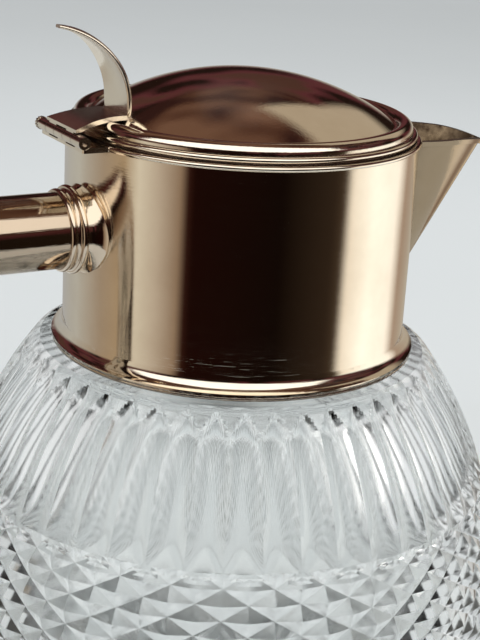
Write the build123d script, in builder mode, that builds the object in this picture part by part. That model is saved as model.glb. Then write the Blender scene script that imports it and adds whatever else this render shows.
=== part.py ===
from build123d import *
import os
from math import cos, degrees, radians, sin, sqrt

os.makedirs("parts", exist_ok=True)

# Cut-glass jug with a silver-plated mount: collar, spout, cantilever handle and hinged lid.
# Millimetres, +Z up. The origin is on the jug's axis, in the plane that the base stands on.
# The handle and the lid's hinge are on -X, and the hinge pin runs along Y.

# ---------------------------------------------------------------- driving dimensions
# collar, which the glass neck, the foot ring, the hinge, the spout and the lid are fitted to
collar_radius = 48.0
collar_sheet = 0.8
collar_height = 57.5        # foot flare's underside to the underside of the rim bead
foot_ring_thickness = 1.2
foot_ring_overhang = 2.8    # beyond the collar's wall
foot_flare_overhang = 3.0
foot_flare_height = 4.4
flare_edge = 0.8
rim_bead_height = 1.4
rim_bead_overhang = 0.6

# glass vessel
ledge_height = 148.6        # table to the ledge that carries the silver mount
shoulder_overhang = 4.2     # shoulder's edge beyond the foot flare
shoulder_round = 2.0
belly_radius = 81.4
belly_height = 74.2
base_radius = 54.0
base_edge_height = 3.0
glass_wall = 6.5
glass_floor = 9.0
floor_radius = 44.0
neck_clearance = 2.2        # glass neck to the collar's bore, filled with plaster
neck_wall = 5.5
neck_rise = 18.4            # glass neck above the ledge, inside the collar
neck_foot_drop = 2.0        # inner corner of the neck, below the ledge
neck_rim_round = 2.2
plaster_top_margin = 4.2    # plaster stops this far below the glass rim

# spout, turned away from the point opposite the handle
spout_turn = -22.0          # degrees from +X
spout_reach = 20.0          # collar's wall to the line of the keel, at the level of the lip
spout_half_width = 14.2     # at the collar, along the lip
spout_foot_share = 0.08     # width at the foot of the keel, as a share of that
spout_height = 39.0         # foot of the keel to the lip
spout_tip_drop = 1.8        # lip at the tip, below the lip at the collar
spout_level_lip = 8.0       # the lip is level this far out from the collar's wall
spout_side_bulge = 0.11     # bulge of each side, as a share of its length
spout_sheet = 1.0
spout_tip_half_width = 1.6
spout_solid_share = 0.12    # lowest part of the beak, filled with solder
lip_wire_width = 1.4
lip_wire_stand = 0.6        # how far the lip wire stands out from the sheet
strainer_hole_radius = 1.7
strainer_pitch = 6.0
strainer_rows = 4
strainer_top_margin = 5.5   # top row of holes below the collar's edge

# handle: tube held out from the collar, free at its lower end
handle_height = 34.6        # handle axis above the collar's underside
handle_tube_radius = 10.0
handle_tube_wall = 1.2
handle_straight = 28.0      # collar's wall to the start of the bend
handle_bend_radius = 40.0
handle_drop = 38.0          # straight grip below the bend
handle_tuck_radius = 90.0
handle_tuck_angle = 14.0    # the grip's end turns this far back to the body
end_cap_rise = 5.0
end_cap_plug_length = 2.5
end_cap_plug_clearance = 0.1
end_cap_bead = 0.9
ferrule_near_stand = 1.7    # bead nearest the collar, above the tube
ferrule_far_stand = 0.9
ferrule_edge = 0.6          # far bead's height above the ferrule's rim
ferrule_groove = 0.3        # metal left on the tube between the two beads
ferrule_distance = 2.3      # collar's wall to the ferrule
ferrule_length = 4.4
ferrule_bead_radius = 0.8
socket_flare = 2.6          # socket's radius at the collar beyond the ferrule's
solder_gap = 0.05

# hinge
pin_distance = 5.0          # collar's wall to the pin
pin_rise = 1.1              # pin above the rim bead
knuckle_radius = 1.6
knuckle_pitch = 5.3
knuckle_gap = 0.2
knuckle_count = 5
pin_radius = 0.75
pin_running_clearance = 0.05
pin_recess = 1.0            # the pin stops short of the open end of the last knuckle
pin_head_overhang = 0.15    # beyond the knuckles
pin_head_length = 1.2
pin_head_flutes = 14
pin_head_flute_radius = 0.18
pin_head_round = 0.12
bracket_past_pin = 0.4
bracket_corner_radius = 0.8
moving_clearance = 0.35     # between the lid's pieces and the collar's

# lid
lid_gap = 0.3               # lid's underside above the rim bead
dome_inset = 7.0            # dome's edge inside the collar's wall
dome_base_rise = 3.3        # dome's edge above the lid's underside
dome_rise = 12.1            # dome's crown above its edge
dome_sheet = 0.8
lid_rim_inset = 0.65
lower_bead_radius = 0.8
upper_bead_radius = 2.5
upper_bead_height = 2.1     # upper bead's centre above the lid's underside
bezel_depth = 4.5
bezel_clearance = 0.6
bezel_sheet = 0.8

# thumb lever: hinge leaf and horn-shaped thumbpiece, one sheet
leaf_thickness = 1.2
leaf_hinge_half_width = 9.2
leaf_fold_half_width = 6.6
leaf_waist = 0.5            # how far each side of the leaf curves in
leaf_fold_inset = 2.7       # fold inside the dome's edge
leaf_fold_rise = 5.8        # top of the leaf at the fold, above the lid's underside
leaf_let_in = 0.3           # how deep the leaf is let into the lid's moulding
leaf_over_knuckle = 1.0     # top of the leaf above the knuckles
leaf_past_pin = 0.6
horn_radius = 19.7          # centre line of the horn, seen from the side
horn_sweep = 82.0           # degrees of arc from the fold to the tip
horn_stem = 2.4             # straight stretch between the leaf and the arc
horn_half_width = 6.8
horn_tip_half_width = 0.9
horn_thickness = 1.3
horn_tip_thinning = 0.35    # share of its thickness that the horn loses towards its tip
horn_taper_start = 0.3      # share of the arc where the horn starts to narrow
horn_dish = 1.0
flat_dish = 0.05            # the horn's sections are never quite flat

# ---------------------------------------------------------------- places worked out from them
foot_ring_radius = collar_radius + foot_ring_overhang
foot_flare_radius = collar_radius + foot_flare_overhang
collar_bore = collar_radius - collar_sheet
shoulder_radius = foot_flare_radius + shoulder_overhang
neck_outer_radius = collar_bore - neck_clearance
neck_bore_radius = neck_outer_radius - neck_wall
neck_top = ledge_height + neck_rise
foot_underside = ledge_height + foot_ring_thickness
collar_top = foot_underside + collar_height
bead_top = collar_top + rim_bead_height
lid_underside = bead_top + lid_gap
spout_tip_distance = collar_radius + spout_reach
handle_axis_height = foot_underside + handle_height
handle_bend_start = collar_radius + handle_straight
tube_bore_radius = handle_tube_radius - handle_tube_wall
ferrule_start = collar_radius + ferrule_distance
ferrule_near_radius = handle_tube_radius + ferrule_near_stand
ferrule_far_radius = handle_tube_radius + ferrule_far_stand
hinge_distance = collar_radius + pin_distance
hinge_height = bead_top + pin_rise
pin_head_radius = knuckle_radius + pin_head_overhang
dome_base_radius = collar_radius - dome_inset
lid_rim_radius = collar_radius - lid_rim_inset


def turned_plane(height, turn):
    """Horizontal plane at a height, with its x axis turned about the jug's axis."""
    direction = (cos(radians(turn)), sin(radians(turn)), 0)
    return Plane(origin=(0, 0, height), x_dir=direction, z_dir=(0, 0, 1))


def circles_of_radius(builder, radius):
    """A part's circular edges of one radius."""
    circles = builder.edges().filter_by(GeomType.CIRCLE)
    return circles.filter_by(lambda edge: abs(edge.radius - radius) < 0.01)


def write(part, name):
    part.label = name
    export_step(part, f"parts/{name}.step")


# ---------------------------------------------------------------- glass vessel
with BuildPart() as glass_body:
    with BuildSketch(Plane.XZ):
        with BuildLine():
            belly = (belly_radius, belly_height)
            base_edge = (base_radius, base_edge_height)
            shoulder = (shoulder_radius, ledge_height)
            Polyline(
                shoulder,
                (neck_outer_radius, ledge_height),
                (neck_outer_radius, neck_top),
                (0, neck_top),
                (0, 0),
                (base_radius - base_edge_height, 0),
                base_edge,
            )
            TangentArc(belly, base_edge, tangent=(0, -1))
            TangentArc(belly, shoulder, tangent=(0, 1))
        make_face()
    revolve(axis=Axis.Z)
    with BuildSketch(Plane.XZ):
        with BuildLine():
            inner_belly = (belly_radius - glass_wall, belly_height)
            floor_edge = (floor_radius, glass_floor)
            neck_foot = (neck_bore_radius, ledge_height - neck_foot_drop)
            Polyline(
                neck_foot,
                (neck_bore_radius, neck_top),
                (0, neck_top),
                (0, glass_floor),
                floor_edge,
            )
            TangentArc(inner_belly, floor_edge, tangent=(0, -1))
            TangentArc(inner_belly, neck_foot, tangent=(0, 1))
        make_face()
    revolve(axis=Axis.Z, mode=Mode.SUBTRACT)
    rim_edges = glass_body.edges().filter_by(GeomType.CIRCLE).group_by(Axis.Z)[-1]
    fillet(rim_edges, radius=neck_rim_round)
    fillet(circles_of_radius(glass_body, shoulder_radius), radius=shoulder_round)
write(glass_body.part, "glass_body")

# ---------------------------------------------------------------- plaster between neck and collar
with BuildPart() as plaster_ring:
    with BuildSketch(Plane.XY.offset(foot_underside)):
        Circle(collar_bore)
        Circle(neck_outer_radius, mode=Mode.SUBTRACT)
    extrude(amount=neck_top - plaster_top_margin - foot_underside)
write(plaster_ring.part, "plaster_ring")

# ---------------------------------------------------------------- collar
with BuildPart() as collar:
    with BuildSketch(Plane.XZ):
        with BuildLine():
            flare_top = (collar_radius, foot_underside + foot_flare_height)
            flare_lip = (foot_flare_radius, foot_underside + flare_edge)
            Polyline(
                flare_top,
                (collar_radius, collar_top),
                (collar_bore, collar_top),
                (collar_bore, foot_underside),
                (foot_flare_radius, foot_underside),
                flare_lip,
            )
            TangentArc(flare_top, flare_lip, tangent=(0, -1))
        make_face()
    revolve(axis=Axis.Z)
    for row in range(strainer_rows):
        holes_in_row = row + 2
        row_height = collar_top - strainer_top_margin - (strainer_rows - 1 - row) * strainer_pitch
        for place in range(holes_in_row):
            across = (place - (holes_in_row - 1) / 2) * strainer_pitch
            turn = spout_turn + degrees(across / collar_radius)
            radial = (cos(radians(turn)), sin(radians(turn)), 0)
            with BuildSketch(Plane(origin=(0, 0, row_height), z_dir=radial)):
                Circle(strainer_hole_radius)
            extrude(amount=foot_flare_radius, mode=Mode.SUBTRACT)
write(collar.part, "collar")

with BuildPart() as collar_foot_ring:
    with BuildSketch(Plane.XY.offset(ledge_height)):
        Circle(foot_ring_radius)
        Circle(neck_outer_radius, mode=Mode.SUBTRACT)
    extrude(amount=foot_ring_thickness)
    fillet(circles_of_radius(collar_foot_ring, foot_ring_radius), radius=0.45 * foot_ring_thickness)
write(collar_foot_ring.part, "collar_foot_ring")

# ---------------------------------------------------------------- hinge stations
hinge_half_length = knuckle_count * knuckle_pitch / 2


def knuckle_start(index):
    return -hinge_half_length + index * knuckle_pitch + knuckle_gap / 2


def hinge_plane(along):
    """Plane across the pin, facing +Y, at a distance along it."""
    return Plane(origin=(-hinge_distance, along, hinge_height), x_dir=(1, 0, 0), z_dir=(0, 1, 0))


lid_knuckles = (1, 3)
collar_knuckles = (0, 2, 4)

# ---------------------------------------------------------------- rim bead, open at the hinge
with BuildPart() as collar_rim_bead:
    with BuildSketch(Plane.XZ):
        with BuildLine():
            bead_flat = collar_radius + rim_bead_overhang - rim_bead_height / 2
            low = (bead_flat, collar_top)
            high = (bead_flat, bead_top)
            Polyline(low, (collar_bore, collar_top), (collar_bore, bead_top), high)
            ThreePointArc(low, (collar_radius + rim_bead_overhang, (collar_top + bead_top) / 2), high)
        make_face()
    revolve(axis=Axis.Z)
    with BuildSketch(Plane.XY.offset(collar_top)):
        with Locations((-collar_radius, 0)):
            Rectangle(collar_radius, 2 * hinge_half_length)
    extrude(amount=rim_bead_height, mode=Mode.SUBTRACT)
write(collar_rim_bead.part, "collar_rim_bead")

# ---------------------------------------------------------------- hinge bracket on the collar
with BuildPart() as hinge_bracket:
    bracket_edge = hinge_distance + bracket_past_pin
    with BuildSketch(Plane.XY.offset(collar_top)):
        with Locations((-bracket_edge, 0)):
            Rectangle(bracket_edge / 2, 2 * hinge_half_length, align=(Align.MIN, Align.CENTER))
        Circle(collar_bore, mode=Mode.SUBTRACT)
    extrude(amount=rim_bead_height)
    fillet(
        hinge_bracket.edges().filter_by(Axis.Z).group_by(Axis.X)[0],
        radius=bracket_corner_radius,
    )
    with BuildSketch(hinge_plane(-hinge_half_length)):
        Circle(knuckle_radius)
    extrude(amount=2 * hinge_half_length, mode=Mode.SUBTRACT)
    for index in lid_knuckles:
        with BuildSketch(hinge_plane(knuckle_start(index) - knuckle_gap)):
            Circle(knuckle_radius + moving_clearance)
        extrude(amount=knuckle_pitch + knuckle_gap, mode=Mode.SUBTRACT)
write(hinge_bracket.part, "hinge_bracket")

# ---------------------------------------------------------------- knuckles, pin and pin head
for index in range(knuckle_count):
    lid_side = index in lid_knuckles
    bore = pin_radius + (pin_running_clearance if lid_side else 0)
    with BuildPart() as knuckle:
        with BuildSketch(hinge_plane(knuckle_start(index))):
            Circle(knuckle_radius)
            Circle(bore, mode=Mode.SUBTRACT)
        extrude(amount=knuckle_pitch - knuckle_gap)
    write(knuckle.part, f"{'lid' if lid_side else 'collar'}_knuckle_{index + 1}")

with BuildPart() as hinge_pin:
    with BuildSketch(hinge_plane(-hinge_half_length + pin_recess)):
        Circle(pin_radius)
    extrude(amount=2 * hinge_half_length - pin_recess)
write(hinge_pin.part, "hinge_pin")

with BuildPart() as hinge_pin_head:
    with BuildSketch(hinge_plane(hinge_half_length)):
        Circle(pin_head_radius)
        with PolarLocations(pin_head_radius, pin_head_flutes):
            Circle(pin_head_flute_radius, mode=Mode.SUBTRACT)
    extrude(amount=pin_head_length)
    fillet(hinge_pin_head.faces().sort_by(Axis.Y)[-1].outer_wire().edges(), radius=pin_head_round)
write(hinge_pin_head.part, "hinge_pin_head")

# ---------------------------------------------------------------- spout
spout_direction = (cos(radians(spout_turn)), sin(radians(spout_turn)), 0)
spout_side = Plane(origin=(0, 0, 0), x_dir=spout_direction,
                   z_dir=(spout_direction[1], -spout_direction[0], 0))
# a level cut through a leaning wall is wider than the wall is thick
side_lean = sqrt(1 + (spout_half_width / spout_height) ** 2) * 1.17
keel_lean = sqrt(1 + (spout_reach / spout_height) ** 2) * 1.16


def beak_outline(level, grow):
    """Plan of the beak at a level from 0 (foot of the keel) to 1 (lip), grown by a margin."""
    root = collar_bore - 2
    half_width = spout_half_width * (spout_foot_share + (1 - spout_foot_share) * level) + side_lean * grow
    tip = collar_radius + spout_reach * level + keel_lean * grow
    tip_half_width = spout_tip_half_width * (1 + 2 * level) / 3
    flank_end = tip - 0.8 * tip_half_width
    length = sqrt((flank_end - root) ** 2 + (half_width - tip_half_width) ** 2)
    bulge = spout_side_bulge * length * (0.1 + 0.9 * level)
    middle_x = (root + flank_end) / 2 + bulge * (half_width - tip_half_width) / length
    middle_y = (half_width + tip_half_width) / 2 + bulge * (flank_end - root) / length
    with BuildSketch() as outline:
        with BuildLine():
            Line((root, -half_width), (root, half_width))
            ThreePointArc((root, half_width), (middle_x, middle_y), (flank_end, tip_half_width))
            ThreePointArc((flank_end, tip_half_width), (tip, 0), (flank_end, -tip_half_width))
            ThreePointArc((flank_end, -tip_half_width), (middle_x, -middle_y), (root, -half_width))
        make_face()
    return outline.sketch


def beak(low_level, grow):
    """The beak as a solid, from a level up to the lip, grown by a margin."""
    with BuildPart() as solid:
        for level in (low_level, 1.0):
            with BuildSketch(turned_plane(bead_top - spout_height * (1 - level), spout_turn)):
                add(beak_outline(level, grow))
        loft(ruled=True)
    return solid.part


def beside_lip(drop, far_height):
    """Everything between the lip's line, dropped by a distance, and a level above or below it."""
    droop_start = (collar_radius + spout_level_lip, bead_top - drop)
    droop_end = (spout_tip_distance, bead_top - drop - spout_tip_drop)
    clear_of_tip = spout_tip_distance + 5
    with BuildPart() as block:
        with BuildSketch(spout_side):
            with BuildLine():
                TangentArc(droop_start, droop_end, tangent=(1, 0))
                Polyline(droop_end, (clear_of_tip, droop_end[1]), (clear_of_tip, far_height), (0, far_height),
                         (0, droop_start[1]), droop_start)
            make_face()
        extrude(amount=2 * spout_half_width, both=True)
    return block.part


with BuildPart() as collar_room:
    with BuildSketch(Plane.XY.offset(foot_underside)):
        Circle(collar_radius)
    extrude(amount=collar_height)
    with BuildSketch(Plane.XY.offset(collar_top)):
        Circle(collar_radius + rim_bead_overhang)
    extrude(amount=rim_bead_height)

above_lip = beside_lip(0, bead_top + 5)
below_lip_wire = beside_lip(lip_wire_width, foot_underside)

with BuildPart() as spout:
    add(beak(0.0, 0))
    add(beak(spout_solid_share, -spout_sheet), mode=Mode.SUBTRACT)
    add(above_lip, mode=Mode.SUBTRACT)
    add(collar_room.part, mode=Mode.SUBTRACT)
write(spout.part, "spout")

with BuildPart() as spout_lip_wire:
    add(beak(0.5, lip_wire_stand))
    add(beak(0.0, 0), mode=Mode.SUBTRACT)
    add(above_lip, mode=Mode.SUBTRACT)
    add(below_lip_wire, mode=Mode.SUBTRACT)
    add(collar_room.part, mode=Mode.SUBTRACT)
write(spout_lip_wire.part, "spout_lip_wire")

# ---------------------------------------------------------------- handle
handle_axis = Axis((0, 0, handle_axis_height), (-1, 0, 0))


def on_handle(distance, radius):
    """Point in the XZ plane, given along the handle's axis and out from it."""
    return (-distance, handle_axis_height + radius)


with BuildPart() as handle_socket:
    with BuildSketch(Plane.XZ):
        with BuildLine():
            neck_end = on_handle(ferrule_start, ferrule_near_radius - ferrule_edge)
            flare_end = on_handle(collar_bore - 1.5, ferrule_near_radius + socket_flare)
            TangentArc(neck_end, flare_end, tangent=(1, 0))
            Polyline(
                flare_end,
                on_handle(collar_bore - 5, ferrule_near_radius + socket_flare),
                on_handle(collar_bore - 5, tube_bore_radius),
                on_handle(ferrule_start, tube_bore_radius),
                neck_end,
            )
        make_face()
    revolve(axis=handle_axis)
    with BuildSketch(Plane.XY.offset(foot_underside)):
        Circle(collar_radius)
    extrude(amount=collar_height, mode=Mode.SUBTRACT)
write(handle_socket.part, "handle_socket")

with BuildPart() as handle_ferrule:
    with BuildSketch(Plane.XZ):
        with BuildLine():
            bore = handle_tube_radius + solder_gap
            bead = ferrule_bead_radius
            near_low = on_handle(ferrule_start, ferrule_near_radius - bead)
            near_high = on_handle(ferrule_start + bead, ferrule_near_radius)
            near_end = on_handle(ferrule_start + 2 * bead, ferrule_near_radius - bead)
            ferrule_end = ferrule_start + ferrule_length
            far_start = on_handle(ferrule_end - 2 * bead, ferrule_far_radius - ferrule_edge)
            far_high = on_handle(ferrule_end - bead, ferrule_far_radius)
            far_end = on_handle(ferrule_end, ferrule_far_radius - ferrule_edge)
            groove = on_handle(ferrule_start + ferrule_length / 2, handle_tube_radius + ferrule_groove)
            ThreePointArc(near_low, near_high, near_end)
            ThreePointArc(near_end, groove, far_start)
            ThreePointArc(far_start, far_high, far_end)
            Polyline(
                far_end,
                on_handle(ferrule_end, bore),
                on_handle(ferrule_start, bore),
                near_low,
            )
        make_face()
    revolve(axis=handle_axis)
write(handle_ferrule.part, "handle_ferrule")

tuck_turn = radians(handle_tuck_angle)
grip_distance = handle_bend_start + handle_bend_radius
grip_top = on_handle(grip_distance, -handle_bend_radius)
grip_foot = on_handle(grip_distance, -handle_bend_radius - handle_drop)
tube_end = (grip_foot[0] + handle_tuck_radius * (1 - cos(tuck_turn)),
            grip_foot[1] - handle_tuck_radius * sin(tuck_turn))
with BuildPart() as handle_tube:
    with BuildLine(Plane.XZ) as handle_path:
        Line(on_handle(ferrule_start, 0), on_handle(handle_bend_start, 0))
        TangentArc(on_handle(handle_bend_start, 0), grip_top, tangent=(-1, 0))
        Line(grip_top, grip_foot)
        TangentArc(grip_foot, tube_end, tangent=(0, -1))
    tube_start = Plane(origin=(-ferrule_start, 0, handle_axis_height), z_dir=(-1, 0, 0))
    with BuildSketch(tube_start):
        Circle(handle_tube_radius)
    sweep(path=handle_path.line)
    with BuildSketch(tube_start):
        Circle(tube_bore_radius)
    sweep(path=handle_path.line, mode=Mode.SUBTRACT)
write(handle_tube.part, "handle_tube")

handle_end_direction = (sin(tuck_turn), 0, -cos(tuck_turn))
handle_end = (tube_end[0] + solder_gap * handle_end_direction[0], 0,
              tube_end[1] + solder_gap * handle_end_direction[2])
with BuildPart() as handle_end_cap:
    with BuildSketch(Plane(origin=handle_end, x_dir=handle_end_direction, z_dir=(0, -1, 0))):
        with BuildLine():
            bead = end_cap_bead
            bead_end = (2 * bead, handle_tube_radius)
            crown = (2 * bead + end_cap_rise, 0)
            plug_radius = tube_bore_radius - end_cap_plug_clearance
            ThreePointArc((0, handle_tube_radius), (bead, handle_tube_radius + bead), bead_end)
            TangentArc(crown, bead_end, tangent=(0, 1))
            Polyline(crown, (-end_cap_plug_length, 0), (-end_cap_plug_length, plug_radius),
                     (0, plug_radius), (0, handle_tube_radius))
        make_face()
    revolve(axis=Axis(handle_end, handle_end_direction))
write(handle_end_cap.part, "handle_end_cap")

# ---------------------------------------------------------------- lid
dome_base_height = lid_underside + dome_base_rise
crown_height = dome_base_height + dome_rise
dome_edge_width = 1.1 * dome_sheet          # the sheet, measured upright at its slanting edge
with BuildPart() as lid_dome:
    with BuildSketch(Plane.XZ):
        with BuildLine():
            outer_base = (dome_base_radius, dome_base_height)
            inner_base = (dome_base_radius, dome_base_height - dome_edge_width)
            TangentArc((0, crown_height), outer_base, tangent=(1, 0))
            Line(outer_base, inner_base)
            TangentArc((0, crown_height - dome_sheet), inner_base, tangent=(1, 0))
            Line((0, crown_height - dome_sheet), (0, crown_height))
        make_face()
    revolve(axis=Axis.Z)
write(lid_dome.part, "lid_dome")

with BuildPart() as under_dome:
    with BuildSketch(Plane.XZ):
        with BuildLine():
            TangentArc((0, crown_height), outer_base, tangent=(1, 0))
            Polyline(outer_base, (dome_base_radius, lid_underside), (0, lid_underside), (0, crown_height))
        make_face()
    revolve(axis=Axis.Z)

wire_top = lid_underside + 2 * lower_bead_radius
with BuildPart() as lid_rim_wire:
    with BuildSketch(Plane.XZ):
        with BuildLine():
            bead_flat = lid_rim_radius - lower_bead_radius
            ThreePointArc(
                (bead_flat, lid_underside),
                (lid_rim_radius, lid_underside + lower_bead_radius),
                (bead_flat, wire_top),
            )
            Polyline(
                (bead_flat, wire_top),
                (dome_base_radius, wire_top),
                (dome_base_radius, lid_underside),
                (bead_flat, lid_underside),
            )
        make_face()
    revolve(axis=Axis.Z)
write(lid_rim_wire.part, "lid_rim_wire")

with BuildPart() as lid_moulding:
    with BuildSketch(Plane.XZ):
        with BuildLine():
            centre_radius = dome_base_radius + upper_bead_radius
            centre_height = lid_underside + upper_bead_height
            outer_foot = (centre_radius + upper_bead_radius, centre_height)
            bead_crown = (centre_radius, centre_height + upper_bead_radius)
            rise = dome_base_height - centre_height
            crease = (centre_radius - sqrt(upper_bead_radius ** 2 - rise ** 2), dome_base_height)
            ThreePointArc(outer_foot, bead_crown, crease)
            Polyline(
                crease,
                (dome_base_radius, dome_base_height),
                (dome_base_radius, wire_top),
                (outer_foot[0], wire_top),
                outer_foot,
            )
        make_face()
    revolve(axis=Axis.Z)
write(lid_moulding.part, "lid_moulding")

bezel_radius = collar_bore - bezel_clearance
with BuildPart() as lid_bezel:
    with BuildSketch(Plane.XY.offset(lid_underside)):
        Circle(bezel_radius)
        Circle(bezel_radius - bezel_sheet, mode=Mode.SUBTRACT)
    extrude(amount=-bezel_depth)
write(lid_bezel.part, "lid_bezel")

# ---------------------------------------------------------------- thumb lever
fold_top = lid_underside + leaf_fold_rise
moulding_crown = lid_underside + upper_bead_height + upper_bead_radius
leaf_end = hinge_distance + leaf_past_pin
leaf_end_top = hinge_height + knuckle_radius + leaf_over_knuckle
horn_line = dome_base_radius - leaf_fold_inset - 0.4    # jug axis to the horn's middle at the fold


def horn_station(share):
    """Plane across the horn, from 0 at the top of its stem to 1 at its tip."""
    angle = radians(horn_sweep * share)
    centre = (-horn_line - horn_radius + horn_radius * cos(angle), 0,
              fold_top + horn_stem + horn_radius * sin(angle))
    return Plane(origin=centre, x_dir=(0, 1, 0), z_dir=(-sin(angle), 0, cos(angle)))


def horn_section(half_width, thickness, dish):
    """Dished strip with round edges, its hollow side towards the handle."""
    front, back = thickness / 2, -thickness / 2
    with BuildSketch() as section:
        with BuildLine():
            ThreePointArc((-half_width, front), (0, front - dish), (half_width, front))
            ThreePointArc((half_width, front), (half_width + thickness / 2, 0), (half_width, back))
            ThreePointArc((half_width, back), (0, back - dish), (-half_width, back))
            ThreePointArc((-half_width, back), (-half_width - thickness / 2, 0), (-half_width, front))
        make_face()
    return section.sketch


horn_foot = Plane(origin=(-horn_line, 0, fold_top - 0.6 * leaf_thickness), x_dir=(0, 1, 0),
                  z_dir=(0, 0, 1))
with BuildPart() as thumb_lever:
    # leaf, from its side, then trimmed to its plan
    with BuildSketch(Plane.XZ):
        with BuildLine():
            top_end = (-leaf_end, leaf_end_top)
            top_fold = (-horn_line + horn_thickness / 2, fold_top)
            top_middle = ((top_end[0] + top_fold[0]) / 2, moulding_crown - leaf_let_in + leaf_thickness)
            low_end, low_middle, low_fold = [
                (x, z - leaf_thickness) for x, z in (top_end, top_middle, top_fold)
            ]
            ThreePointArc(top_end, top_middle, top_fold)
            Line(top_fold, low_fold)
            ThreePointArc(low_fold, low_middle, low_end)
            Line(low_end, top_end)
        make_face()
    extrude(amount=leaf_hinge_half_width, both=True)
    with BuildSketch(Plane.XY.offset(hinge_height)):
        with BuildLine():
            mean_half_width = (leaf_hinge_half_width + leaf_fold_half_width) / 2
            waist = ((-leaf_end - horn_line) / 2, mean_half_width - leaf_waist)
            near_end = (-leaf_end, leaf_hinge_half_width)
            fold_end = (-horn_line + horn_thickness, leaf_fold_half_width)
            ThreePointArc(near_end, waist, fold_end)
            ThreePointArc((near_end[0], -near_end[1]), (waist[0], -waist[1]), (fold_end[0], -fold_end[1]))
            Line(near_end, (near_end[0], -near_end[1]))
            Line(fold_end, (fold_end[0], -fold_end[1]))
        make_face()
    extrude(amount=fold_top, mode=Mode.INTERSECT)
    # horn, dished sections from the leaf to the tip
    with BuildSketch(horn_foot):
        add(horn_section(leaf_fold_half_width - horn_thickness / 2, horn_thickness, flat_dish))
    for share in (0, 0.2, 0.4, 0.6, 0.8, 0.93, 1.0):
        taper = 1 - max(0, (share - horn_taper_start) / (1 - horn_taper_start)) ** 1.6
        half_width = horn_tip_half_width + (horn_half_width - horn_tip_half_width) * taper
        thickness = horn_thickness * (1 - horn_tip_thinning * share)
        dish = max(flat_dish, horn_dish * min(2.5 * share, 1) * taper)
        with BuildSketch(horn_station(share)):
            add(horn_section(half_width, thickness, dish))
    loft()
    for index in range(knuckle_count):
        room = 0 if index in lid_knuckles else moving_clearance
        with BuildSketch(hinge_plane(knuckle_start(index) - knuckle_gap - room)):
            Circle(knuckle_radius + room)
        extrude(amount=knuckle_pitch + knuckle_gap + 2 * room, mode=Mode.SUBTRACT)
    add(lid_moulding.part, mode=Mode.SUBTRACT)
    add(under_dome.part, mode=Mode.SUBTRACT)
write(thumb_lever.part, "thumb_lever")
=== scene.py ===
from math import atan2, cos, pi, radians, sin, tau

import bpy
from mathutils import Matrix, Vector


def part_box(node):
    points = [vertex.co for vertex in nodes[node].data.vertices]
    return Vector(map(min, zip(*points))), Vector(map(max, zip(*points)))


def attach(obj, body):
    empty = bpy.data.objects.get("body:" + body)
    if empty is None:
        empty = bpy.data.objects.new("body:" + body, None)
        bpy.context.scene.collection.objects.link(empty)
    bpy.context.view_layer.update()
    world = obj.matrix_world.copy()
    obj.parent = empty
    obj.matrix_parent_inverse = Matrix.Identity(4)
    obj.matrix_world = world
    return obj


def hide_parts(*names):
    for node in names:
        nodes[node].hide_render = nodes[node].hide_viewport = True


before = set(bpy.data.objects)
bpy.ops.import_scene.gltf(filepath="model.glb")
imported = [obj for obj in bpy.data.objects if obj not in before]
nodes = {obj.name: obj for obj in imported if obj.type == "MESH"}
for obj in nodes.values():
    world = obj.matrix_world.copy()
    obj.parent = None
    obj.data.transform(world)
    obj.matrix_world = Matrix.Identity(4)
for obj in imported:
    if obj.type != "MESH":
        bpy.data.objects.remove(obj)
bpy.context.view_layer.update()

# Silver-plated jug on a cut-glass vessel. Metres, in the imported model's frame: +Z up, handle on -X,
# spout 22 degrees round from +X towards -Y. The silver nodes keep their shape and get their metal here;
# the glass is cut here, inside the plain solid that stands for it. Azimuths are in degrees: 0 stands
# on -Y, 90 on +X.

MM = 0.001


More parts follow.
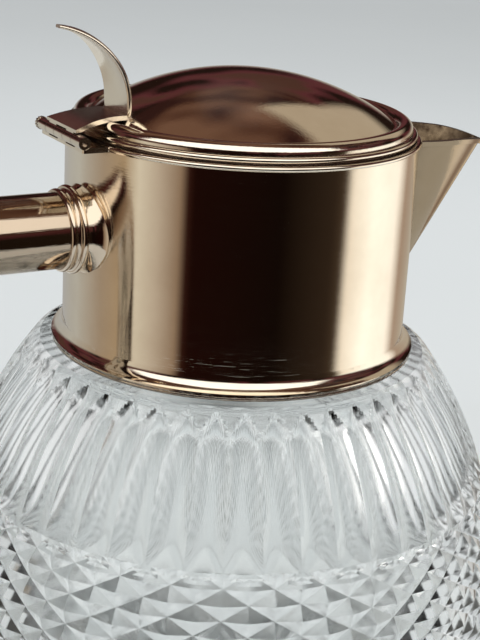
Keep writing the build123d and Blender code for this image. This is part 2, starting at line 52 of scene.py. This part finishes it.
# ---------------------------------------------------------------- node trees
class Nodes:
    """Short way to write a node tree: every call adds to it and returns a node or its output."""

    def __init__(self, tree):
        self.tree = tree
        self.tree.nodes.clear()

    def fill(self, socket, value):
        """Link a socket to another one's output, or set its constant."""
        if isinstance(value, bpy.types.NodeSocket):
            self.tree.links.new(value, socket)
        else:
            socket.default_value = value

    def add(self, kind, inputs=None, **settings):
        node = self.tree.nodes.new(kind)
        for name, value in settings.items():
            setattr(node, name, value)
        for name, value in (inputs or {}).items():
            self.fill(node.inputs[name], value)
        return node

    def place(self):
        return self.add("ShaderNodeTexCoord").outputs["Object"]

    def math(self, operation, *values):
        return self.add("ShaderNodeMath", dict(enumerate(values)), operation=operation).outputs[0]

    def noise(self, vector, scale, detail=3.0, roughness=0.5):
        node = self.add("ShaderNodeTexNoise",
                        {"Vector": vector, "Scale": scale, "Detail": detail, "Roughness": roughness})
        return node.outputs["Fac"]

    def stretched(self, vector, scale):
        node = self.add("ShaderNodeVectorMath", {0: vector, 1: scale}, operation="MULTIPLY")
        return node.outputs["Vector"]

    def ramp(self, value, *stops):
        """Map a value through (position, grey or colour) stops."""
        node = self.add("ShaderNodeValToRGB", {"Fac": value})
        band = node.color_ramp
        while len(band.elements) < len(stops):
            band.elements.new(0.5)
        for element, (position, colour) in zip(band.elements, stops):
            element.position = position
            element.color = (*colour, 1.0) if isinstance(colour, tuple) else (colour,) * 3 + (1.0,)
        return node.outputs["Color"]

    def rise(self, value, low, high, top=1.0):
        """0 below low, growing to top at high."""
        return self.ramp(value, (low, 0.0), (high, top))

    def fall(self, value, low, high):
        """1 below low, sinking to 0 at high."""
        return self.ramp(value, (low, 1.0), (high, 0.0))

    def blend(self, share, first, second):
        """Mix two colours."""
        node = self.add("ShaderNodeMix", data_type="RGBA")
        self.fill(node.inputs[0], share)
        for socket, value in ((node.inputs[6], first), (node.inputs[7], second)):
            self.fill(socket, (*value, 1.0) if isinstance(value, tuple) else value)
        return node.outputs[2]

    def bump(self, height, strength, distance, under=None):
        """Surface normal of a relief, on top of the relief under it."""
        inputs = {"Strength": strength, "Distance": distance, "Height": height}
        if under is not None:
            inputs["Normal"] = under
        return self.add("ShaderNodeBump", inputs).outputs["Normal"]

    def principled(self, inputs):
        """Finish a material with a Principled shader."""
        shader = self.add("ShaderNodeBsdfPrincipled", inputs)
        self.add("ShaderNodeOutputMaterial", {"Surface": shader.outputs["BSDF"]})


def new_material(name):
    material = bpy.data.materials.new(name)
    material.use_nodes = True
    return material, Nodes(material.node_tree)


# ---------------------------------------------------------------- materials
silver_bright = (0.90, 0.815, 0.69)
silver_dull = (0.66, 0.55, 0.43)
silver_tarnish = (0.20, 0.11, 0.07)
film_roughness = 0.04           # added to the bare metal's roughness by the film
scratch_roughness = 0.03
stain_roughness = 0.3
hairline_finer = 3.1            # how much finer the hairlines are than the scratches


def silver(name, scratch_scale, dullness=0.35, roughness=0.03, crease=0.0025,
           bright=silver_bright, hollow=0.0, tarnish=silver_tarnish):
    """Polished silver plate: fine scratches along one direction, a hazy film, and tarnish in the creases.

    A small number in scratch_scale makes the scratches run along that axis. hollow darkens the faces that
    look upward towards the tarnish colour, as the inside of the spout does: tarnish and painted shade. A
    bright colour darker than silver_bright gives a darker copy of the silver: painted shade.
    """
    material, add = new_material(name)
    place = add.place()
    film = add.noise(place, scale=38.0, detail=4.0, roughness=0.6)
    spots = add.noise(place, scale=160.0, detail=5.0, roughness=0.65)
    scratches = add.noise(add.stretched(place, scratch_scale), scale=1.0, detail=2.0, roughness=0.55)
    finer_scale = [hairline_finer * share for share in scratch_scale]
    hairlines = add.noise(add.stretched(place, finer_scale), scale=1.0, detail=1.0)
    crevice = add.add("ShaderNodeAmbientOcclusion", {"Distance": crease}, samples=6, only_local=False)
    covered = add.fall(crevice.outputs["AO"], 0.30, 0.72)
    # painted shade: faces that look upward are darkened to stand for the shade inside the spout, on top of
    # its tarnish
    if hollow:
        normal = add.add("ShaderNodeNewGeometry").outputs["Normal"]
        upward = add.add("ShaderNodeSeparateXYZ", {0: normal}).outputs["Z"]
        covered = add.math("MAXIMUM", covered, add.math("MULTIPLY", add.rise(upward, 0.01, 0.06), hollow))
    # tarnish in the creases, plus painted shade on the upward faces where hollow is set
    stain_and_shade = add.math("MULTIPLY", covered, add.ramp(spots, (0.25, 0.35), (0.6, 1.0)))
    metal = add.blend(add.rise(film, 0.42, 0.72, dullness), bright, silver_dull)
    filmed = add.math("MULTIPLY_ADD", add.rise(film, 0.35, 0.75), film_roughness, roughness)
    lined = add.math("MULTIPLY_ADD", add.rise(scratches, 0.45, 0.62), scratch_roughness, filmed)
    relief = add.bump(hairlines, strength=0.22, distance=0.02 * MM)
    relief = add.bump(scratches, strength=0.22, distance=0.05 * MM, under=relief)
    waves = add.noise(place, scale=26.0, detail=1.0)
    relief = add.bump(waves, strength=0.10, distance=0.6 * MM, under=relief)
    add.principled({"Metallic": 1.0, "Base Color": add.blend(stain_and_shade, metal, tarnish),
                    "Roughness": add.math("MULTIPLY_ADD", stain_and_shade, stain_roughness, lined),
                    "Normal": relief})
    return material


def clear_glass(name, haze):
    """Clear glass with faint ripples, fine grain, smears, and a trace of green in the mass."""
    material, add = new_material(name)
    place = add.place()
    ripples = add.noise(add.stretched(place, (1.0, 1.0, 0.55)), scale=150.0, detail=2.0, roughness=0.45)
    relief = add.bump(ripples, strength=0.10, distance=0.3 * MM)
    grain = add.noise(place, scale=900.0, detail=2.0)
    relief = add.bump(grain, strength=0.05, distance=0.05 * MM, under=relief)
    smears = add.noise(place, scale=45.0, detail=4.0, roughness=0.6)
    tint = add.blend(add.noise(place, scale=30.0), (0.965, 0.985, 0.98), (0.985, 0.995, 0.99))
    add.principled({"Transmission Weight": 1.0, "IOR": 1.52, "Base Color": tint,
                    "Roughness": add.ramp(smears, (0.45, haze), (0.8, haze + 0.05)), "Normal": relief})
    return material


def plaster():
    """Off-white plaster, porous and dusty."""
    material, add = new_material("plaster")
    place = add.place()
    pores = add.noise(place, scale=1400.0, detail=4.0, roughness=0.7)
    colour = add.blend(add.noise(place, scale=120.0), (0.74, 0.71, 0.64), (0.86, 0.84, 0.79))
    add.principled({"Base Color": colour, "Roughness": add.ramp(pores, (0.3, 0.8), (0.7, 0.98)),
                    "Normal": add.bump(pores, strength=0.6, distance=0.3 * MM)})
    return material


round_the_collar = (60.0, 60.0, 4200.0)
along_the_tube = (90.0, 2600.0, 2600.0)
every_way = (1300.0, 1300.0, 1300.0)
up_and_down = (2600.0, 2600.0, 90.0)

dressed = (
    (silver("silver_collar", round_the_collar),
     ("collar", "collar_rim_bead", "collar_foot_ring")),
    (silver("silver_lid", every_way),
     ("lid_dome", "lid_moulding", "lid_rim_wire", "lid_bezel")),
    (silver("silver_lever", every_way, dullness=0.6, roughness=0.15),
     ("thumb_lever",)),
    # handle, socket and spout get darker copies of the silver's bright colour: painted shade
    (silver("silver_handle", along_the_tube, dullness=0.15, bright=(0.52, 0.42, 0.32)),
     ("handle_tube", "handle_end_cap")),
    (silver("silver_socket", along_the_tube, bright=(0.74, 0.62, 0.49)),
     ("handle_socket", "handle_ferrule")),
    # spout: the wide crease reach, the upward-face darkening and the near-black tarnish colour paint shade
    # inside it, over real tarnish
    (silver("silver_spout", up_and_down, dullness=0.2, roughness=0.08, crease=0.012,
            bright=(0.38, 0.29, 0.19), hollow=1.0, tarnish=(0.035, 0.02, 0.012)),
     ("spout", "spout_lip_wire")),
    (silver("silver_hinge", every_way, dullness=0.6, roughness=0.10, crease=0.0012),
     ("hinge_bracket", "hinge_pin", "hinge_pin_head", "collar_knuckle_1", "collar_knuckle_3",
      "collar_knuckle_5", "lid_knuckle_2", "lid_knuckle_4")),
    (plaster(), ("plaster_ring",)),
)
for material, names in dressed:
    for name in names:
        nodes[name].data.materials.clear()
        nodes[name].data.materials.append(material)

# ---------------------------------------------------------------- sizes of the glass
glass_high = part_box("glass_body")[1]
ledge_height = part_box("collar_foot_ring")[0].z
belly_radius = glass_high.x
belly_height = 74.2 * MM
shoulder_radius = 55.2 * MM
shoulder_round = 2.0 * MM
ledge_width = 4.4 * MM
base_radius = 54.0 * MM
base_edge_height = 3.0 * MM
glass_wall = 6.5 * MM
floor_height = 9.0 * MM
floor_radius = 44.0 * MM
neck_radius = 45.0 * MM
bore_radius = 39.5 * MM
neck_foot_height = ledge_height - 2.0 * MM
neck_rim_round = 2.2 * MM
neck_rim_steps = 6
inside_steps = 26               # rings on each of the two arcs of the inside

flute_count = 48
flute_depth = 2.5 * MM
flute_depth_at_top = 0.7        # share of the full depth at the ledge
flute_start = 0.6 * MM
flute_arch = 8.0 * MM           # length of the arch at a flute's top
flute_arch_power = 1.7
flute_least_width = 0.05
flute_zone = 40.9 * MM          # ledge to the top of the diamonds, along the surface
flute_run_out = 14.0 * MM
flute_run_out_power = 0.8
arch_ring_gap = 0.55 * MM       # between the mesh's rings in the arches
flute_ring_gap = 1.3 * MM       # and below them

diamond_count = 36
diamond_half_height = 4.1 * MM
diamond_half_rows = 20
diamond_depth = 1.8 * MM
diamond_left = 0.93             # share of a diamond's height below its worn tip
diamond_edge_slope = 3.0        # how fast the grooves run out beyond the outermost diamonds
diamond_cells = 4               # mesh cells across each half diamond

foot_flute_depth = 1.6 * MM
foot_flute_steps = 18
foot_flute_power = 2.2
foot_flute_fade = 4.0
foot_flute_least = 0.25         # share of the depth that is left at the base

star_points = 24
star_depth = 1.3 * MM
star_ray_width = 0.8
star_rim = 0.2                  # outer share of the radius over which the rays grow deeper
star_rings = (0.92, 0.8, 0.65, 0.5, 0.36, 0.24, 0.13)

sharp_angle = 14                # degrees between faces, above which an edge stays sharp
flute_columns = 12 * flute_count
columns = 2 * diamond_cells * diamond_count


# ---------------------------------------------------------------- cut glass
def bulge_radius(across, along):
    """Radius of an arc that starts upright and moves this far across over this height."""
    return (across ** 2 + along ** 2) / (2 * across)


upper_bulge = bulge_radius(belly_radius - shoulder_radius, ledge_height - belly_height)
lower_bulge = bulge_radius(belly_radius - base_radius, belly_height - base_edge_height)
upper_angle = atan2(ledge_height - belly_height, upper_bulge - belly_radius + shoulder_radius)
lower_angle = atan2(belly_height - base_edge_height, lower_bulge - belly_radius + base_radius)
upper_length = upper_bulge * upper_angle
lower_length = lower_bulge * lower_angle


def on_glass(down):
    """Radius, height and outward direction on the uncut glass, at a distance below the ledge."""
    if down < upper_length:
        angle, bulge = upper_angle - down / upper_bulge, upper_bulge
    else:
        angle, bulge = -(down - upper_length) / lower_bulge, lower_bulge
    radius = belly_radius - bulge + bulge * cos(angle)
    height = belly_height + bulge * sin(angle)
    if down < shoulder_round:
        radius -= (shoulder_round - down) ** 2 / (2 * shoulder_round)
    return radius, height, angle


def cut(down, depth):
    """Radius and height of a point on the glass, cut in by a depth."""
    radius, height, angle = on_glass(down)
    return radius - depth * cos(angle), height - depth * sin(angle)


class Skin:
    """Surface of rings round the jug's axis, each joined to the one before."""

    def __init__(self):
        self.points = []
        self.faces = []
        self.last = None

    def ring(self, count, place, slant=None):
        """Add a ring and join it. place(turn) gives its radius and height."""
        first = len(self.points)
        for step in range(count):
            turn = tau * step / count
            radius, height = place(turn)
            self.points.append((radius * cos(turn), radius * sin(turn), height))
        if self.last:
            upper, upper_count = self.last
            if upper_count == count:
                self.join(upper, first, count, slant)
            else:
                self.join_double(upper, upper_count, first, count)
        self.last = first, count

    def join(self, upper, lower, count, slant):
        """Join rings of one count. slant(step) says which way each cell is divided."""
        for step in range(count):
            after = (step + 1) % count
            corners = [upper + step, lower + step, lower + after, upper + after]
            if slant is None:
                self.faces.append(corners)
            elif slant(step):
                self.faces += [corners[:3], [corners[0], corners[2], corners[3]]]
            else:
                self.faces += [[corners[0], corners[1], corners[3]], corners[1:]]

    def join_double(self, upper, upper_count, lower, lower_count):
        """Join two rings when one has twice the columns of the other."""
        few = min(upper_count, lower_count)
        for step in range(few):
            after = (step + 1) % few
            if upper_count > lower_count:
                a, b, c = upper + 2 * step, upper + 2 * step + 1, upper + 2 * after
                low, low_after = lower + step, lower + after
                self.faces += [[a, low, b], [b, low, low_after], [b, low_after, c]]
            else:
                a, b, c = lower + 2 * step, lower + 2 * step + 1, lower + 2 * after
                high, high_after = upper + step, upper + after
                self.faces += [[high, a, b], [high, b, high_after], [high_after, b, c]]

    def plain(self, radius, height):
        self.ring(columns, lambda turn: (radius, height))

    def neck_rim(self, radius, side):
        """Half of the neck's rounded rim, from its middle. side is -1 outside and 1 inside."""
        self.plain((neck_radius + bore_radius) / 2, glass_high.z)
        for step in range(neck_rim_steps + 1):
            angle = pi / 2 * (1 - step / neck_rim_steps)
            self.plain(radius + side * neck_rim_round * (1 - cos(angle)),
                       glass_high.z - neck_rim_round * (1 - sin(angle)))

    def cap(self, height):
        """Close the last ring with one vertex on the axis."""
        centre = len(self.points)
        self.points.append((0.0, 0.0, height))
        first, count = self.last
        for step in range(count):
            self.faces.append([first + step, centre, first + (step + 1) % count])


def across_cut(turn, count):
    """Place across one of count equal cuts: -1 and 1 at its edges, 0 in its middle."""
    return (turn * count / tau) % 1.0 * 2.0 - 1.0


def folded(value):
    """Saw-tooth between 0 and 1."""
    value %= 2.0
    return min(value, 2 - value)


def flute(down, turn):
    """Depth of the long flutes: arches at the top, running out above the diamonds."""
    across = across_cut(turn, flute_count)
    from_top = max(0.0, (down - flute_start) / flute_arch)
    width = 1.0 if from_top >= 1 else 1.0 - (1.0 - from_top) ** flute_arch_power
    left = max(0.0, (flute_zone - down) / flute_run_out)
    fade = 1.0 if left >= 1 else sin(left * pi / 2) ** flute_run_out_power
    grow = flute_depth_at_top + (1 - flute_depth_at_top) * down / flute_zone
    return max(0.0, flute_depth * grow * fade * (width ** 2 - across ** 2) / max(width, flute_least_width))


def diamond(row, turn):
    """Depth of the cut diamonds, with row counted in half diamonds from the top of their zone."""
    x = folded(turn * 2 * diamond_count / tau)
    height = abs(x + folded(row) - 1.0)
    depth = diamond_depth * (1.0 - min(height, diamond_left))
    beyond = x - min(row, diamond_half_rows - row)
    if beyond > 0:
        depth = min(depth, max(0.0, diamond_depth * (1 - diamond_edge_slope * beyond)))
    return depth


def foot_flute(share, turn):
    """Depth of the flutes below the diamonds, at a share of the way down to the base."""
    across = across_cut(turn, diamond_count)
    width = 1.0 - (1.0 - share) ** foot_flute_power
    fade = min(1.0, (1 - share) * foot_flute_fade + foot_flute_least)
    return max(0.0, foot_flute_depth * (width ** 2 - across ** 2)) * fade


def star(share, turn):
    """Depth of the star under the base, at a share of its radius."""
    across = abs(across_cut(turn, star_points))
    groove = max(0.0, 1.0 - across / star_ray_width)
    return star_depth * groove * min(1.0, (1 - share) / star_rim)


def build_outside():
    """Neck, ledge, long flutes, diamonds, foot flutes and base."""
    skin = Skin()
    skin.neck_rim(neck_radius, -1)
    skin.plain(neck_radius, ledge_height)
    skin.plain(shoulder_radius - ledge_width, ledge_height)
    down = 0.0
    while down < flute_zone - 0.1 * MM:
        skin.ring(flute_columns, lambda turn: cut(down, flute(down, turn)))
        down += arch_ring_gap if down < flute_arch else flute_ring_gap
    for step in range(diamond_half_rows * diamond_cells + 1):
        down = flute_zone + step * diamond_half_height / diamond_cells
        row = step / diamond_cells
        band = max(step - 1, 0) // diamond_cells
        skin.ring(columns, lambda turn: cut(down, diamond(row, turn)),
                  lambda column: (column // diamond_cells + band) % 2 == 1)
    start = down
    for step in range(1, foot_flute_steps + 1):
        share = step / foot_flute_steps
        down = start + (upper_length + lower_length - start) * share
        skin.ring(columns, lambda turn: cut(down, foot_flute(share, turn)))
    flat_radius = base_radius - base_edge_height
    skin.plain(flat_radius, 0.0)
    for share in star_rings:
        skin.ring(columns, lambda turn: (flat_radius * share, star(share, turn)))
    skin.cap(star_depth)
    return skin


def build_inside():
    """The hollow's wall, from the rim down to the floor."""
    skin = Skin()
    skin.neck_rim(bore_radius, 1)
    inner_belly = belly_radius - glass_wall
    upper_height, lower_height = neck_foot_height - belly_height, belly_height - floor_height
    upper = bulge_radius(inner_belly - bore_radius, upper_height)
    lower = bulge_radius(inner_belly - floor_radius, lower_height)
    neck_angle = atan2(upper_height, upper - inner_belly + bore_radius)
    floor_angle = atan2(lower_height, lower - inner_belly + floor_radius)
    arcs = [(upper, neck_angle * (1 - step / inside_steps)) for step in range(inside_steps)]
    arcs += [(lower, -floor_angle * step / inside_steps) for step in range(inside_steps + 1)]
    for bulge, angle in arcs:
        skin.plain(inner_belly - bulge + bulge * cos(angle), belly_height + bulge * sin(angle))
    for share in (0.7, 0.35):
        skin.plain(floor_radius * share, floor_height)
    skin.cap(floor_height)
    return skin


def build_glass():
    """Outside and inside in one closed mesh. Both start with the ring along the rim's middle."""
    outside, inside = build_outside(), build_inside()
    shift = len(outside.points) - columns
    inside_faces = [[v if v < columns else v + shift for v in reversed(face)] for face in inside.faces]
    mesh = bpy.data.meshes.new("cut_glass_vessel")
    mesh.from_pydata(outside.points + inside.points[columns:], [], outside.faces + inside_faces)
    mesh.validate()
    for polygon in mesh.polygons:
        polygon.use_smooth = True
    mesh.set_sharp_from_angle(angle=radians(sharp_angle))
    mesh.materials.append(clear_glass("cut_glass", 0.006))
    mesh.materials.append(clear_glass("glass_inside", 0.13))
    for polygon in mesh.polygons[len(outside.faces):]:
        polygon.material_index = 1
    return bpy.data.objects.new("cut_glass_vessel", mesh)


def into_scene(thing):
    bpy.context.scene.collection.objects.link(thing)
    return thing


glass = into_scene(build_glass())
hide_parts("glass_body")
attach(glass, "jug")

# ---------------------------------------------------------------- floor, camera and light
floor_reach = 30.0
floor_drop = 0.2 * MM

camera_place = Vector((-0.2000, -0.3329, 0.2856))
camera_forward = Vector((0.4920, 0.8086, -0.3227)).normalized()
camera_roll = 0.0576
camera_lens = 81.2

lamp_target = Vector((0, 0, 0.15))


def plain_floor():
    mesh = bpy.data.meshes.new("floor")
    corners = ((-1, -1), (1, -1), (1, 1), (-1, 1))
    mesh.from_pydata([(x * floor_reach, y * floor_reach, 0) for x, y in corners], [], [(0, 1, 2, 3)])
    floor = into_scene(bpy.data.objects.new("floor", mesh))
    floor.location.z = -floor_drop
    material, add = new_material("floor")
    colour = add.blend(add.noise(add.place(), scale=3.0), (0.60, 0.63, 0.64), (0.63, 0.66, 0.67))
    add.principled({"Base Color": colour, "Roughness": 0.8})
    mesh.materials.append(material)


def photo_camera():
    camera = into_scene(bpy.data.objects.new("camera", bpy.data.cameras.new("camera")))
    camera.data.lens = camera_lens
    camera.data.clip_start = 0.01
    level = camera_forward.cross(Vector((0, 0, 1))).normalized()
    up = level.cross(camera_forward)
    right = cos(camera_roll) * level + sin(camera_roll) * up
    top = -sin(camera_roll) * level + cos(camera_roll) * up
    turn = Matrix((right, top, -camera_forward)).transposed()
    camera.matrix_world = Matrix.Translation(camera_place) @ turn.to_4x4()
    bpy.context.scene.camera = camera


def soft_light(name, azimuth, elevation, distance, size, power, colour):
    """Area light that faces the jug."""
    light = bpy.data.lights.new(name, "AREA")
    light.shape = "RECTANGLE"
    light.size, light.size_y = size
    light.energy = power
    light.color = colour
    lamp = into_scene(bpy.data.objects.new(name, light))
    a, e = radians(azimuth), radians(elevation)
    outward = Vector((sin(a) * cos(e), -cos(a) * cos(e), sin(e)))
    lamp.location = lamp_target + outward * distance
    lamp.rotation_mode = "QUATERNION"
    lamp.rotation_quaternion = (-outward).to_track_quat("-Z", "Y")


def surroundings():
    """Pale even light from all round, a little weaker overhead."""
    world = bpy.data.worlds.new("studio")
    bpy.context.scene.world = world
    world.use_nodes = True
    add = Nodes(world.node_tree)
    direction = add.add("ShaderNodeTexCoord").outputs["Generated"]
    height = add.add("ShaderNodeSeparateXYZ", {0: direction}).outputs["Z"]
    colour = add.ramp(add.math("MULTIPLY_ADD", height, 0.5, 0.5),
                      (0.50, (0.85, 0.87, 0.88)), (0.66, (0.87, 0.88, 0.88)), (0.85, (0.68, 0.68, 0.68)))
    light = add.add("ShaderNodeBackground", {"Color": colour, "Strength": 1.0})
    add.add("ShaderNodeOutputWorld", {"Surface": light.outputs["Background"]})


# ---------------------------------------------------------------- what the silver reflects
tent_radius = 0.36
tent_height = 0.50
tent_segments = 180
# tent's wall, by azimuth: the silver's bright and dark bands
tent_wall = (
    (-180, (0.42, 0.42, 0.41)),
    (-150, (0.48, 0.48, 0.45)),
    (-122, (0.36, 0.29, 0.22)),
    (-104, (0.40, 0.30, 0.19)),
    (-93, (0.68, 0.63, 0.53)),
    (-80, (0.52, 0.45, 0.37)),
    (-66, (0.28, 0.20, 0.14)),
    (-61, (0.030, 0.010, 0.007)),
    (-57, (0.011, 0.003, 0.002)),
    (-5, (0.006, 0.003, 0.002)),
    (28, (0.030, 0.019, 0.012)),
    (35, (0.06, 0.04, 0.025)),
    (41, (1.00, 0.93, 0.82)),
    (60, (1.30, 1.30, 1.22)),
    (84, (1.20, 1.16, 1.08)),
    (97, (0.40, 0.30, 0.23)),
    (118, (0.46, 0.40, 0.32)),
    (180, (0.42, 0.42, 0.41)),
)
tent_folds = ((0.44, (0.015, 0.007, 0.005)), (0.56, (0.10, 0.028, 0.032)), (0.66, (0.075, 0.034, 0.025)))
tent_patches = ((0.42, (0.03, 0.011, 0.009)), (0.52, (0.085, 0.038, 0.024)), (0.66, (0.16, 0.085, 0.055)))
softbox_azimuth = 110           # dim patch that the dome's right side mirrors
softbox_glow = (0.44, 0.37, 0.28)
strip_azimuth = -31             # bright strip that the mouldings and the handle mirror
strip_glow = (1.5, 1.47, 1.40)


def tent_colour(add):
    """The tent's glow: banded wall, folded cloth above it, patched ceiling, a softbox and a strip."""
    place = add.place()
    x, y, z = add.add("ShaderNodeSeparateXYZ", {0: place}).outputs

    def along(azimuth):
        """Distance from the axis towards an azimuth."""
        turn = radians(azimuth)
        return add.math("ADD", add.math("MULTIPLY", x, sin(turn)), add.math("MULTIPLY", y, -cos(turn)))

    height = add.math("DIVIDE", z, tent_height)
    turn = add.math("ARCTAN2", x, add.math("MULTIPLY", y, -1.0))
    share = add.math("ADD", add.math("DIVIDE", turn, tau), 0.5)
    wall = add.ramp(share, *(((azimuth + 180) / 360, colour) for azimuth, colour in tent_wall))
    folds = add.ramp(add.noise(place, scale=9.0, detail=1.0), *tent_folds)
    patches = add.ramp(add.noise(place, scale=7.0, detail=1.0), *tent_patches)
    sides = add.blend(add.rise(height, 0.40, 0.50), wall, folds)
    towards_strip = along(strip_azimuth)
    brow = add.math("MULTIPLY", add.rise(towards_strip, 0.12, 0.18), add.rise(height, 0.62, 0.68))
    sides = add.blend(brow, sides, strip_glow)
    ceiling = add.blend(add.rise(towards_strip, 0.10, 0.13), patches, strip_glow)
    shell = add.blend(add.rise(height, 0.995, 1.0), sides, ceiling)
    beside = add.math("ABSOLUTE", along(softbox_azimuth + 90))
    spot = add.math("MULTIPLY", add.rise(along(softbox_azimuth), 0.14, 0.18), add.fall(beside, 0.085, 0.11))
    softbox = add.math("MULTIPLY", add.rise(height, 0.62, 0.72), spot)
    return add.blend(softbox, shell, softbox_glow)


def reflection_tent():
    """Round tent with flags and softboxes, which only the reflections see."""
    ring = [(tent_radius * cos(tau * step / tent_segments), tent_radius * sin(tau * step / tent_segments))
            for step in range(tent_segments)]
    points = [(x, y, z) for z in (0.0, tent_height) for x, y in ring]
    faces = []
    for step in range(tent_segments):
        after = (step + 1) % tent_segments
        faces.append((step, after, tent_segments + after, tent_segments + step))
    faces.append(tuple(range(tent_segments, 2 * tent_segments)))
    mesh = bpy.data.meshes.new("reflection_tent")
    mesh.from_pydata(points, [], faces)
    tent = into_scene(bpy.data.objects.new("reflection_tent", mesh))
    material, add = new_material("reflection_tent")
    glow = add.add("ShaderNodeEmission", {"Color": tent_colour(add), "Strength": 1.0})
    add.add("ShaderNodeOutputMaterial", {"Surface": glow.outputs["Emission"]})
    mesh.materials.append(material)
    for kind in ("camera", "diffuse", "transmission", "volume_scatter", "shadow"):
        setattr(tent, f"visible_{kind}", False)


plain_floor()
photo_camera()
surroundings()
reflection_tent()
soft_light("left_softbox", azimuth=-95, elevation=42, distance=1.7, size=(1.05, 1.25), power=6.0,
           colour=(1.0, 0.97, 0.93))
soft_light("right_softbox", azimuth=60, elevation=40, distance=1.8, size=(1.05, 1.25), power=9.0,
           colour=(1.0, 0.97, 0.92))
soft_light("back_softbox", azimuth=150, elevation=50, distance=1.3, size=(0.35, 0.7), power=3.5,
           colour=(0.97, 0.98, 1.0))

bpy.context.scene.cycles.max_bounces = 24
bpy.context.scene.cycles.transmission_bounces = 24
bpy.context.scene.view_settings.view_transform = "Standard"
